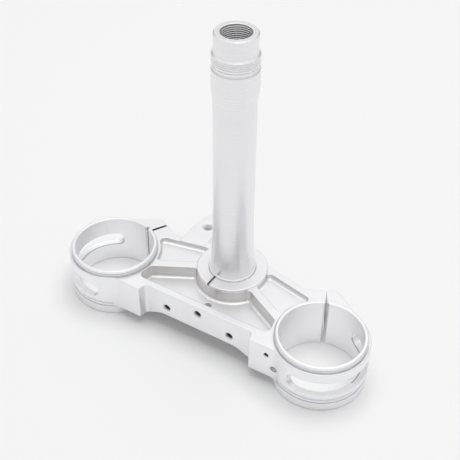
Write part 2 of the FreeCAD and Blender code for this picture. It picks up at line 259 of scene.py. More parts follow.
def blasted_grain() -> bpy.types.NodeTree:
    """Fine bead-blast grain.

    Formula: height = fine noise + half the distance to the nearest pit, and tone = fine noise
    times its share + wide noise times the rest.

    Returns:
        The group, with Vector, Grain Size and Mottle Size in, Height and Tone out.
    """
    fine_share = 0.35
    g = GroupBuilder("blasted grain")
    place = g.vector("Vector")
    grain = g.number("Grain Size", 2600.0)
    mottle = g.number("Mottle Size", 55.0)
    fine = g.node("ShaderNodeTexNoise", Vector=place, Scale=grain, Detail=2.0, Roughness=0.6)
    wide = g.node("ShaderNodeTexNoise", Vector=place, Scale=mottle, Detail=4.0, Roughness=0.55)
    pits = g.node("ShaderNodeTexVoronoi", Vector=place, Scale=grain)
    half_pits = g.math("MULTIPLY", pits.outputs["Distance"], 0.5)
    g.give("Height", g.math("ADD", fine.outputs[0], half_pits))
    rest = g.math("MULTIPLY", wide.outputs[0], 1.0 - fine_share)
    g.give("Tone", g.math("MULTIPLY_ADD", fine.outputs[0], fine_share, rest))
    return g.tree


def lathe_lines() -> bpy.types.NodeTree:
    """Fine tool lines along one coordinate, made uneven by a noise.

    Formula: tone = noise of the coordinate, and height = tone + a share of the sine that makes
    one turn in each pitch.

    Returns:
        The group, with Along, Pitch and Waver in, Height and Tone out.
    """
    sine_share = 0.25
    g = GroupBuilder("lathe lines")
    along = g.number("Along", 0.0)
    pitch = g.number("Pitch", 0.00012)
    waver = g.number("Waver", 900.0)
    turns = g.math("DIVIDE", along, pitch)
    line = g.math("SINE", g.math("MULTIPLY", turns, math.tau))
    band = g.tree.nodes.new("ShaderNodeTexNoise")
    band.noise_dimensions = "1D"
    for name, value in (("W", along), ("Scale", waver), ("Detail", 3.0)):
        g.feed(band.inputs[name], value)
    g.give("Height", g.math("MULTIPLY_ADD", line, sine_share, band.outputs[0]))
    g.give("Tone", band.outputs[0])
    return g.tree


def round_zone() -> bpy.types.NodeTree:
    """How far a point is from an upright axis, and whether it is nearer than a radius.

    Returns:
        The group, with Vector, Axis X, Axis Y and Radius in, Mask and Distance out.
    """
    g = GroupBuilder("round zone")
    place = g.split(g.vector("Vector"))
    dx = g.math("SUBTRACT", place[0], g.number("Axis X", 0.0))
    dy = g.math("SUBTRACT", place[1], g.number("Axis Y", 0.0))
    square = g.math("ADD", g.math("MULTIPLY", dx, dx), g.math("MULTIPLY", dy, dy))
    distance = g.math("SQRT", square)
    g.give("Mask", g.math("LESS_THAN", distance, g.number("Radius", 0.01)))
    g.give("Distance", distance)
    return g.tree


def saw_cut() -> bpy.types.NodeTree:
    """The walls of the slit that splits each clamp, on both sides of the middle plane.

    Formula: with X folded to its size and both axes counted from the fork axis, a point is in
    the cut when its distance from the cut's middle line is under the half width and its distance
    along the line is over the start.

    Returns:
        The group, with Vector, Axis X, Axis Y, Angle, Shift, Start and Half Width in, Mask out.
    """
    g = GroupBuilder("saw cut")
    place = g.split(g.vector("Vector"))
    dx = g.math("SUBTRACT", g.math("ABSOLUTE", place[0]), g.number("Axis X", 0.09))
    dy = g.math("SUBTRACT", place[1], g.number("Axis Y", 0.0))
    angle = g.number("Angle", 2.0)
    cos = g.math("COSINE", angle)
    sin = g.math("SINE", angle)
    along = g.math("MULTIPLY_ADD", dx, cos, g.math("MULTIPLY", dy, sin))
    across = g.math("SUBTRACT", g.math("MULTIPLY", dx, sin), g.math("MULTIPLY", dy, cos))
    off = g.math("ABSOLUTE", g.math("SUBTRACT", across, g.number("Shift", 0.0)))
    beyond = g.math("GREATER_THAN", along, g.number("Start", 0.03))
    g.give("Mask", g.both(g.math("LESS_THAN", off, g.number("Half Width", 0.001)), beyond))
    return g.tree


def upright_wall() -> bpy.types.NodeTree:
    """Walls that stand upright between two heights, and no farther across than a reach.

    Formula: mask = 1 - smooth minimum of the size of the normal's Z and 1, where Z is between
    the heights and the size of X is under the reach.

    Returns:
        The group, with Vector, Normal, Low, High and Reach in, Mask out.
    """
    smoothing = 0.1
    g = GroupBuilder("upright wall")
    place = g.split(g.vector("Vector"))
    x, z = place[0], place[2]
    tilt = g.math("ABSOLUTE", g.split(g.vector("Normal"))[2])
    steep = g.outside(g.math("SMOOTH_MIN", tilt, 1.0, smoothing))
    over = g.math("GREATER_THAN", z, g.number("Low", -0.01))
    under = g.math("LESS_THAN", z, g.number("High", 0.0))
    near = g.math("LESS_THAN", g.math("ABSOLUTE", x), g.number("Reach", 0.05))
    g.give("Mask", g.both(steep, over, under, near))
    return g.tree


@dataclass
class Workshop:
    """The shared effects, each a node group that is built once."""

    grain: bpy.types.NodeTree = field(default_factory=blasted_grain)
    lines: bpy.types.NodeTree = field(default_factory=lathe_lines)
    zone: bpy.types.NodeTree = field(default_factory=round_zone)
    cut: bpy.types.NodeTree = field(default_factory=saw_cut)
    wall: bpy.types.NodeTree = field(default_factory=upright_wall)


class Bench(NodeDesk):
    """One material, with short calls to place groups, colours and the shader's inputs."""

    ramp_ends: tuple[float, float] = (0.25, 0.75)
    bevel_samples: int = 6
    edge_gain: float = 6.0

    def __init__(self, name: str) -> None:
        """Starts a material with one Principled shader.

        Args:
            name: The material's name.
        """
        self.material = bpy.data.materials.new(name)
        self.material.use_nodes = True
        super().__init__(self.material.node_tree)
        self.tree.nodes.clear()
        self.shader = self.node("ShaderNodeBsdfPrincipled")
        self.out = self.node("ShaderNodeOutputMaterial", Surface=self.shader.outputs["BSDF"])
        self.place = self.node("ShaderNodeTexCoord").outputs["Object"]
        self.rounded: Socket | None = None

    def group(self, tree: bpy.types.NodeTree, **values: object) -> bpy.types.Node:
        """Places a group.

        Args:
            tree: The group.
            values: Input name, with underscores for spaces, to a socket or a value.

        Returns:
            The group's node.
        """
        made = self.tree.nodes.new("ShaderNodeGroup")
        made.node_tree = tree
        for key, value in values.items():
            self.feed(made.inputs[key.replace("_", " ")], value)
        return made

    def wire(self, name: str, value: object) -> None:
        """Links or sets one of the shader's inputs."""
        self.feed(self.shader.inputs[name], value)

    def blend(self, share: object, first: object, second: object) -> Socket:
        """Mixes two colours.

        Args:
            share: How much the second counts, from 0 to 1.
            first: The first, a socket or a colour.
            second: The second, a socket or a colour.

        Returns:
            The mixed colour.
        """
        made = self.tree.nodes.new("ShaderNodeMix")
        made.data_type = "RGBA"
        for index, value in ((0, share), (6, first), (7, second)):
            self.feed(made.inputs[index], value)
        return made.outputs[2]

    def shade(self, mask: Socket, color: Socket, share: float) -> Socket:
        """Darkens a colour to a share of itself where the mask counts."""
        return self.blend(mask, color, self.blend(share, BLACK, color))

    def ramp(self, share: Socket, dark: Color, light: Color) -> Socket:
        """Makes a ramp from a dark to a light colour over the middle half of the share.

        Args:
            share: A share from 0 to 1.
            dark: The colour below the middle half.
            light: The colour above it.

        Returns:
            The ramp's colour.
        """
        made = self.node("ShaderNodeValToRGB", Fac=share)
        for element, color, position in zip(made.color_ramp.elements, (dark, light), self.ramp_ends):
            element.color = (*color, 1.0)
            element.position = position
        return made.outputs["Color"]

    def soften_edges(self, radius: float) -> Socket:
        """Rounds the shading of sharp edges.

        Formula: mask = gain * (1 - dot(rounded normal, plain normal)), held under 1.

        Args:
            radius: Radius of the rounding, in millimetres.

        Returns:
            A mask of where the shading is rounded.
        """
        bevel = self.node("ShaderNodeBevel", Radius=radius * MM)
        bevel.samples = self.bevel_samples
        self.rounded = bevel.outputs[0]
        dot = self.tree.nodes.new("ShaderNodeVectorMath")
        dot.operation = "DOT_PRODUCT"
        self.feed(dot.inputs[0], self.rounded)
        self.feed(dot.inputs[1], self.node("ShaderNodeNewGeometry").outputs["Normal"])
        turn = self.math("MULTIPLY", self.outside(dot.outputs["Value"]), self.edge_gain)
        return self.math("MINIMUM", turn, 1.0)

    def bump(self, height: Socket, strength: float, depth: float) -> None:
        """Runs a height into the shader's normal.

        Args:
            height: The height.
            strength: Share of its effect.
            depth: Its depth, in millimetres.
        """
        made = self.node("ShaderNodeBump", Strength=strength, Distance=depth * MM, Height=height)
        if self.rounded is not None:
            self.feed(made.inputs["Normal"], self.rounded)
        self.wire("Normal", made.outputs["Normal"])


@dataclass(frozen=True)
class ClampPlaces:
    """Where the clamp's machined places are. Heights are over the feet of the sleeves."""

    fork_x: float = 90.0
    fork_y: float = -28.2
    bore_radius: float = 30.25
    sleeve_radius: float = 40.0
    face_radius: float = 26.8
    face_low: float = 39.95
    plate_high: float = 39.15
    level: float = 0.3
    slit_angle: float = 119.5
    slit_shift: float = 4.9
    slit_start: float = 29.4
    slit_half: float = 1.25
    slit_rim: float = 36.9
    # How far beside the left cut the band of painted shade in its bore reaches.
    slit_shade_half: float = 2.3
    pocket: tuple[float, float] = (27.4, 37.8)
    pocket_reach: float = 65.0
    rail_y: float = -48.2
    rear_y: float = 20.5
    rear_slope: float = 0.2156
    notch_x: float = -5.0
    notch_half: float = 0.86
    notch: tuple[float, float] = (38.45, 40.12)
    drain_y: float = -34.8
    drain_radius: float = 2.75
    window: tuple[float, float] = (14.0, 29.0)
    groove: tuple[float, float] = (38.9, 40.1)
    sill_y: float = -36.2
    sill_line: float = 30.9


class ClampMap:
    """Masks of the clamp's machined places, from the place and the direction of its surface."""

    def __init__(self, b: Bench, shop: Workshop, places: ClampPlaces) -> None:
        """Reads place and direction, and folds both forks into one.

        Args:
            b: The material.
            shop: The shared groups.
            places: Where the machined places are.
        """
        self.b = b
        self.shop = shop
        self.at = places
        self.normal = b.node("ShaderNodeNewGeometry").outputs["Normal"]
        self.x, self.y, self.z = b.split(b.place)
        self.fold = b.math("ABSOLUTE", self.x)
        self.left = b.math("LESS_THAN", self.x, 0.0)
        self.level = b.math("GREATER_THAN", b.split(self.normal)[2], places.level)
        folded = b.node("ShaderNodeCombineXYZ", X=self.fold, Y=self.y, Z=self.z).outputs[0]
        fork = self.zone(folded, places.fork_x, places.fork_y, places.bore_radius)
        hub = self.zone(b.place, 0.0, 0.0, places.face_radius)
        self.bores = fork.outputs["Mask"]
        self.from_fork = fork.outputs["Distance"]
        self.from_stem = hub.outputs["Distance"]
        self.hub_face = b.both(hub.outputs["Mask"], self.above(places.face_low))
        self.sleeves = b.math("LESS_THAN", self.from_fork, places.sleeve_radius * MM)

    def zone(self, place: Socket, x: float, y: float, radius: float) -> bpy.types.Node:
        """Places a round zone about an upright axis."""
        return self.b.group(self.shop.zone, Vector=place, Axis_X=x * MM, Axis_Y=y * MM, Radius=radius * MM)

    def above(self, height: float) -> Socket:
        """What is over a height."""
        return self.b.math("GREATER_THAN", self.z, (height - HUB_TOP) * MM)

    def between(self, heights: tuple[float, float]) -> Socket:
        """What is between two heights."""
        under = self.b.math("LESS_THAN", self.z, (heights[1] - HUB_TOP) * MM)
        return self.b.both(self.above(heights[0]), under)

    def cut(self, half: float) -> Socket:
        """The saw cuts, and what is beside them.

        Args:
            half: How far from a cut's middle line still counts, in millimetres.

        Returns:
            The mask.
        """
        at = self.at
        return self.b.group(self.shop.cut, Vector=self.b.place, Axis_X=at.fork_x * MM, Axis_Y=at.fork_y * MM,
                            Angle=math.radians(at.slit_angle), Shift=at.slit_shift * MM,
                            Start=at.slit_start * MM, Half_Width=half * MM).outputs["Mask"]

    def sawn(self, cut: Socket) -> Socket:
        """The sawn walls, except their top rims outside the bores, and a band of painted shade beside the
        left cut in its bore.

        Args:
            cut: The mask of the saw cuts.

        Returns:
            The mask.
        """
        rim = self.b.both(self.above(self.at.slit_rim), self.b.outside(self.bores))
        # A band of painted shade beside the left cut, inside its bore.
        slit_shade = self.b.both(self.cut(self.at.slit_shade_half), self.bores, self.left)
        return self.b.either(self.b.both(cut, self.b.outside(rim)), slit_shade)

    def pocket_walls(self) -> Socket:
        """The upright walls in the plate's outline, which are those of the pockets and get painted shade.

        Formula: Y is over the front rail's face, and under a line that falls from the stem
        towards each fork, and the point is in neither bore.

        Returns:
            The mask.
        """
        b, at = self.b, self.at
        wall = b.group(self.shop.wall, Vector=b.place, Normal=self.normal, Low=(at.pocket[0] - HUB_TOP) * MM,
                       High=(at.pocket[1] - HUB_TOP) * MM, Reach=at.pocket_reach * MM)
        behind_rail = b.math("GREATER_THAN", self.y, at.rail_y * MM)
        line = b.math("ADD", self.y, b.math("MULTIPLY", self.fold, at.rear_slope))
        before_rear = b.math("LESS_THAN", line, at.rear_y * MM)
        return b.both(wall.outputs["Mask"], behind_rail, before_rear, b.outside(self.bores))

    def notch(self) -> Socket:
        """The thin notch in the front of the hub's face, which gets painted shade.

        Returns:
            The mask.
        """
        b, at = self.b, self.at
        off = b.math("ABSOLUTE", b.math("SUBTRACT", self.x, at.notch_x * MM))
        narrow = b.math("LESS_THAN", off, at.notch_half * MM)
        return b.both(narrow, self.between(at.notch), b.math("LESS_THAN", self.y, 0.0))

    def drain(self) -> Socket:
        """The wall of the drain hole."""
        hole = self.zone(self.b.place, 0.0, self.at.drain_y, self.at.drain_radius)
        return self.b.both(hole.outputs["Mask"], self.b.outside(self.level))

    def windows(self) -> Socket:
        """The belt of the sleeves that the windows are cut in."""
        return self.b.both(self.sleeves, self.between(self.at.window))

    def plate(self) -> Socket:
        """The level faces of the plate and its pockets, which get painted shade.

        Returns:
            The mask.
        """
        b = self.b
        sunk = b.math("LESS_THAN", self.z, (self.at.plate_high - HUB_TOP) * MM)
        return b.both(self.level, sunk, b.outside(self.windows()))

    def rear_sills(self) -> Socket:
        """The floors of the windows, in their rear parts, which get painted shade."""
        rear = self.b.math("GREATER_THAN", self.y, self.at.sill_y * MM)
        return self.b.both(self.windows(), self.level, rear)

    def sill_lines(self, sills: Socket) -> Socket:
        """The inner borders of the windows' floors, which get a painted dark line of shade."""
        return self.b.both(sills, self.b.math("LESS_THAN", self.from_fork, self.at.sill_line * MM))

    def collar_grooves(self) -> Socket:
        """The grooves under the collars of the sleeves, which get painted shade."""
        return self.b.both(self.sleeves, self.b.outside(self.bores), self.between(self.at.groove))


@dataclass(frozen=True)
class BlastedClamp:
    """The clamp's finish: bead-blasted and clear-anodised, with turned bores, pocket walls and sawn slits,
    and painted light and shade in its colour: painted highlights on the sharp edges and on the right slit's
    walls, and painted shade on the level faces, the rear window floors and their inner borders, the bearing
    face, the pocket walls, the collar grooves, the hub's notch, the left slit's walls and beside the left
    cut.

    The shares for the plate, the window floors, their lines, the bearing face and the grooves are what
    painted shade leaves of the colour there, and the pocket walls' share says how far their painted shade
    covers a wall. Matt, turned, hub face, rubbed and sawn are roughnesses. Each pair of grain and lines is
    the two sizes that its group takes.
    """

    places: ClampPlaces = ClampPlaces()
    dark: Color = (0.88, 0.88, 0.895)
    light: Color = (0.945, 0.945, 0.96)
    bore: Color = (0.95, 0.95, 0.96)
    # Painted shade on the pocket walls, in a darker warm tone, and how far it covers a wall.
    pocket_wall_shade: Color = (0.70, 0.685, 0.665)
    pocket_wall_shade_share: float = 0.85
    # Painted shade on the left slit's walls and painted light on the right slit's walls.
    sawn_left_shade: Color = (0.22, 0.22, 0.225)
    sawn_right_light: Color = (0.96, 0.96, 0.965)
    # Painted shade in the notch of the hub's face.
    notch: Color = (0.36, 0.36, 0.365)
    # Painted highlight on the sharp edges.
    edge_highlight: Color = (0.96, 0.96, 0.965)
    # Painted shade on the level faces of the plate and pockets, as the share of colour left.
    plate: float = 0.97
    # Painted shade on the rear window floors, as the share of colour left.
    sill_shade: float = 0.90
    # A painted dark line of shade along the window floors' inner borders, as the share of colour left.
    line: float = 0.5
    # Painted shade on the hub's bearing face, as the share of colour left.
    bearing_face_shade: float = 0.95
    # Painted shade in the grooves under the collars, as the share of colour left.
    groove_shade: float = 0.52
    matt: tuple[float, float] = (0.36, 0.46)
    turned: float = 0.38
    hub_face: float = 0.42
    rubbed: float = 0.34
    sawn: float = 0.7
    grain: tuple[float, float] = (2400.0, 48.0)
    bore_lines: tuple[float, float] = (0.00016, 700.0)
    face_lines: tuple[float, float] = (0.00022, 500.0)
    bump_strength: float = 0.35
    bump_depth: float = 0.02
    edge_radius: float = 0.7

    def build(self, shop: Workshop) -> bpy.types.Material:
        """Builds the material.

        Args:
            shop: The shared groups.

        Returns:
            The material.
        """
        b = Bench("blasted aluminium")
        edges = b.soften_edges(self.edge_radius)
        places = ClampMap(b, shop, self.places)
        cut = places.cut(self.places.slit_half)
        sawn = places.sawn(cut)
        turned = b.either(places.bores, places.hub_face)
        grain = b.group(shop.grain, Vector=b.place, Grain_Size=self.grain[0], Mottle_Size=self.grain[1])
        bore_lines = b.group(shop.lines, Along=places.z, Pitch=self.bore_lines[0], Waver=self.bore_lines[1])
        face_lines = b.group(shop.lines, Along=places.from_stem, Pitch=self.face_lines[0],
                             Waver=self.face_lines[1])
        height = b.mix(places.bores, grain.outputs["Height"], bore_lines.outputs["Height"])
        height = b.mix(places.hub_face, height, face_lines.outputs["Height"])
        b.bump(height, self.bump_strength, self.bump_depth)
        tone = b.mix(turned, grain.outputs["Tone"], bore_lines.outputs["Tone"])
        color = self.worn(b, places, b.ramp(tone, self.dark, self.light), edges)
        # Painted shade on the left slit's walls and beside the left cut, painted light on the right slit's
        # walls.
        b.wire("Base Color", b.blend(sawn, color, b.blend(places.left, self.sawn_right_light, self.sawn_left_shade)))
        rough = b.mix(turned, b.mix(grain.outputs["Tone"], *self.matt), self.turned)
        rough = b.mix(places.hub_face, rough, self.hub_face)
        rough = b.mix(edges, rough, self.rubbed)
        b.wire("Roughness", b.mix(sawn, rough, self.sawn))
        # The right slit's walls are also made non-metal, which goes with their painted light.
        pale_cut = b.both(cut, b.outside(places.left))
        b.wire("Metallic", b.outside(b.either(places.drain(), pale_cut)))
        return b.material

    def worn(self, b: Bench, places: ClampMap, color: Socket, edges: Socket) -> Socket:
        """Lays the turned bores' tone, and painted shade and painted highlights at the machined places and
        the sharp edges, over the blasted colour.

        Args:
            b: The material.
            places: The masks.
            color: The blasted colour.
            edges: The mask of the sharp edges, which get a painted highlight.

        Returns:
            The colour.
        """
        sills = places.rear_sills()
        color = b.blend(places.bores, color, self.bore)
        # Painted shade on the level faces.
        color = b.shade(places.plate(), color, self.plate)
        # Painted shade on the rear window floors.
        color = b.shade(b.both(sills, b.outside(places.bores)), color, self.sill_shade)
        # Painted shade on the hub's bearing face.
        color = b.shade(places.hub_face, color, self.bearing_face_shade)
        # Painted shade on the pocket walls.
        pocket_wall_shade = b.math("MULTIPLY", places.pocket_walls(), self.pocket_wall_shade_share)
        color = b.blend(pocket_wall_shade, color, self.pocket_wall_shade)
        # Painted highlight on the sharp edges.
        color = b.blend(edges, color, self.edge_highlight)
        # Painted shade in the grooves under the collars.
        color = b.shade(places.collar_grooves(), color, self.groove_shade)
        # Painted shade in the notch of the hub's face.
        color = b.blend(places.notch(), color, self.notch)
        # A painted dark line of shade along the inner borders of the window floors.
        return b.shade(places.sill_lines(sills), color, self.line)


@dataclass(frozen=True)
class TurnedStem:
    """The stem's finish: turned, with faint tool lines round it, lightly polished, and with a painted
    highlight on its sharp edges.
    """

    dark: Color = (0.81, 0.81, 0.822)
    light: Color = (0.90, 0.90, 0.91)
    # Painted highlight on the sharp edges.
    edge_highlight: Color = (0.97, 0.97, 0.97)
    smooth: tuple[float, float] = (0.26, 0.36)
    lines: tuple[float, float] = (0.00011, 1100.0)
    grain: tuple[float, float] = (3200.0, 30.0)
    grain_share: float = 0.4
    bump_strength: float = 0.2
    bump_depth: float = 0.006
    edge_radius: float = 0.3

    def build(self, shop: Workshop) -> bpy.types.Material:
        """Builds the material.

        Args:
            shop: The shared groups.

        Returns:
            The material.
        """
        b = Bench("turned aluminium")
        edges = b.soften_edges(self.edge_radius)
        height = b.split(b.place)[2]
        lines = b.group(shop.lines, Along=height, Pitch=self.lines[0], Waver=self.lines[1])
        grain = b.group(shop.grain, Vector=b.place, Grain_Size=self.grain[0], Mottle_Size=self.grain[1])
        tone = b.mix(self.grain_share, lines.outputs["Tone"], grain.outputs["Tone"])
        # Painted highlight on the sharp edges.
        b.wire("Base Color", b.blend(edges, b.ramp(tone, self.dark, self.light), self.edge_highlight))
        b.wire("Roughness", b.mix(tone, *self.smooth))
        b.bump(lines.outputs["Height"], self.bump_strength, self.bump_depth)
        b.wire("Metallic", 1.0)
        return b.material


@dataclass(frozen=True)
class CutThread:
    """The finish of a cut thread: bright, and with a face given, a painted tone far inside the hole: painted
    shade in most holes, painted light in the wide pad hole.
    """

    name: str = "cut thread"
    dark: Color = (0.78, 0.78, 0.79)
    light: Color = (0.92, 0.92, 0.925)
    rough: tuple[float, float] = (0.24, 0.38)
    metal: float = 0.9
    face: float | None = None
    fade: tuple[float, float] = (0.8, 2.2)
    # Painted shade far inside the hole, unless a painted light tone is given.
    deep_painted_tone: Color = (0.05, 0.05, 0.055)
    grain: tuple[float, float] = (5200.0, 420.0)
    bump_strength: float = 0.25
    bump_depth: float = 0.008

    def build(self, shop: Workshop) -> bpy.types.Material:
        """Builds the material.

        Args:
            shop: The shared groups.

        Returns:
            The material.
        """
        b = Bench(self.name)
        grain = b.group(shop.grain, Vector=b.place, Grain_Size=self.grain[0], Mottle_Size=self.grain[1])
        color = b.ramp(grain.outputs["Tone"], self.dark, self.light)
        if self.face is not None:
            # The painted tone far inside the hole, past the fade from the face.
            color = b.blend(self.depth_share(b), color, self.deep_painted_tone)
        b.wire("Base Color", color)
        b.wire("Roughness", b.mix(grain.outputs["Tone"], *self.rough))
        b.bump(grain.outputs["Height"], self.bump_strength, self.bump_depth)
        b.wire("Metallic", self.metal)
        return b.material

    def depth_share(self, b: Bench) -> Socket:
        """How far into the hole a point is: 0 at the first limit of the fade, 1 at the second.

        Args:
            b: The material.

        Returns:
            The share, from 0 to 1.
        """
        start, end = ((self.face + depth) * MM for depth in self.fade)
        share = b.math("DIVIDE", b.math("SUBTRACT", b.split(b.place)[1], start), end - start)
        return b.math("MINIMUM", b.math("MAXIMUM", share, 0.0), 1.0)


@dataclass
class ScrewThread:
    """One thread, as a skin that lies on a plain cylinder of the solids.

    Formula: on a grid of turn t (0 to 1) and length s (0 to length), the radius is
    wall + sign * (gap + depth * tooth), where tooth is a triangle wave of s / pitch - t
    with flattened crests and roots, faded to nothing over one pitch at both ends.
    """

    name: str
    kind: Thread
    wall: float
    length: float
    pitch: float
    depth: float
    mouth: tuple[float, float, float]
    axis: tuple[float, float, float] = (0.0, 0.0, 1.0)
    start: float = 0.0
    around: int = 72
    per_pitch: int = 8
    floor: bool = False
    gap: float = 0.012
    steep: float = 1.6
    root: float = 0.2

    def grid(self) -> tuple[np.ndarray, np.ndarray]:
        """Works the skin out.

        Returns:
            Points (n, 3) in millimetres, and quads (m, 4) whose faces point away from the metal.
        """
        rows = max(8, int(self.length / self.pitch * self.per_pitch))
        turn = np.linspace(0.0, 1.0, self.around, endpoint=False)
        along = np.linspace(0.0, self.length, rows + 1)
        t, s = np.meshgrid(turn, along)
        phase = (s / self.pitch - t) % 1.0
        wave = 1.0 - np.abs(2.0 * phase - 1.0)
        tooth = np.clip(self.steep * wave - self.root, 0.0, 1.0)
        ends = np.clip(np.minimum(s, self.length - s) / self.pitch, 0.0, 1.0)
        fade = ends * ends * (3.0 - 2.0 * ends)
        radius = self.wall + self.kind.value * (self.gap + self.depth * tooth * fade)
        angle = t * math.tau
        points = np.stack([radius * np.cos(angle), radius * np.sin(angle), -self.start - s], axis=-1)
        index = np.arange(t.size).reshape(t.shape)
        right = np.roll(index, -1, axis=1)
        quads = np.stack([index[:-1], index[1:], right[1:], right[:-1]], axis=-1).reshape(-1, 4)
        if self.kind is Thread.INSIDE:
            quads = quads[:, ::-1]
        return points.reshape(-1, 3), quads

    def close(self, points: np.ndarray) -> tuple[np.ndarray, list[list[int]]]:
        """Closes the far end of a blind hole with a flat fan.

        Args:
            points: The skin's points.

        Returns:
            The points with the fan's middle added, and the fan's triangles.
        """
        rim = np.arange(len(points) - self.around, len(points))
        middle = np.array([[0.0, 0.0, points[rim, 2].mean()]])
        centre = np.full(self.around, len(points))
        fan = np.stack([rim, np.roll(rim, -1), centre], axis=-1)
        return np.concatenate([points, middle]), fan.tolist()

    def basis(self) -> np.ndarray:
        """Turns the skin's own Z to the thread's axis.

        Returns:
            The three rows of the turn.
        """
        z = np.array(self.axis, float)
        z /= np.linalg.norm(z)
        x = np.cross((1.0, 0.0, 0.0), z)
        x /= np.linalg.norm(x)
        return np.stack([x, np.cross(z, x), z])

    def make(self, material: bpy.types.Material, slot: Slot) -> None:
        """Makes the piece, and lets it ride on the one body.

        Args:
            material: Its finish.
            slot: The record's slot; not used.
        """
        points, quads = self.grid()
        faces = quads.tolist()
        if self.floor:
            points, fan = self.close(points)
            faces += fan
        placed = (points @ self.basis() + np.array(self.mouth)) * MM
        mesh = bpy.data.meshes.new(self.name)
        mesh.from_pydata(placed.tolist(), [], faces)
        mesh.polygons.foreach_set("use_smooth", np.ones(len(faces), dtype=bool))
        mesh.materials.append(material)
        mesh.update()
        piece = bpy.data.objects.new(self.name, mesh)
        bpy.context.scene.collection.objects.link(piece)
        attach(piece, "root")
        log.info("%s: %d faces", self.name, len(faces))


def dress_node(frame: dict, name: str, material: bpy.types.Material) -> None:
    """Gives a node of the solids its finish.

    Args:
        name: The node's name.
        material: The finish.
    """
    mesh = frame["nodes"][name].data
    mesh.materials.clear()
    mesh.materials.append(material)
    log.info("%s: %s", name, material.name)


@dataclass
class SteeringStem:
    """The stem: its finish, the thread under its nose and the thread in its upper bore."""

    node: str = "steering_stem"
    top: float = 237.0
    nose_length: float = 13.6
    nose_step: float = 1.1
    thread_length: float = 6.7
    thread_radius: float = 15.85
    thread_depth: float = 0.22
    bore_radius: float = 10.35
    bore_thread_length: float = 30.0
    bore_thread_depth: float = 0.5
    mouth_chamfer: float = 0.35
    pitch: float = 1.5
    around: int = 128
    bore_around: int = 96

    def dress(self, frame: dict, shop: Workshop) -> None:
        """Gives the node its finish and adds both threads.

        Args:
            shop: The shared groups.
        """
        dress_node(frame, self.node, TurnedStem().build(shop))
        band_top = self.top - self.nose_length - self.nose_step - HUB_TOP
        band = ScrewThread("stem_thread", Thread.OUTSIDE, self.thread_radius, self.thread_length, self.pitch,
                           self.thread_depth, (0.0, 0.0, band_top), around=self.around)
        band.make(CutThread(name="bright thread").build(shop), Slot.STEM)
        mouth = self.top - self.mouth_chamfer - HUB_TOP
        inner = ScrewThread("stem_bore_thread", Thread.INSIDE, self.bore_radius, self.bore_thread_length,
                            self.pitch, self.bore_thread_depth, (0.0, 0.0, mouth),
                            around=self.bore_around)
        # Painted shade: the thread in the stem's bore is darker than the bright thread.
        shaded_bore_finish = CutThread(name="bore thread", dark=(0.52, 0.52, 0.53), light=(0.66, 0.66, 0.67))
        inner.make(shaded_bore_finish.build(shop), Slot.STEM)


@dataclass(frozen=True)
class FrontHole:
    """A tapped hole that opens to the front.

    Its height is over the feet of the sleeves, face is the Y of the face that it opens in, and
    bevel and depth count from that face.
    """

    name: str
    x: float
    height: float
    radius: float
    depth: float
    bevel: float
    face: float
    blind: bool = True
    pitch: float = 0.8
    tooth: float = 0.3
    end_gap: float = 0.02
    around: int = 48

    def thread(self) -> ScrewThread:
        """The hole's thread, which begins under the bevelled mouth.

        Returns:
            The thread, closed at its far end if the hole is blind.
        """
        end = self.end_gap if self.blind else 0.0
        return ScrewThread(self.name, Thread.INSIDE, self.radius, self.depth - self.bevel - end, self.pitch,
                           self.tooth, (self.x, self.face, self.height - HUB_TOP), (0.0, -1.0, 0.0),
                           start=self.bevel, around=self.around, floor=self.blind)


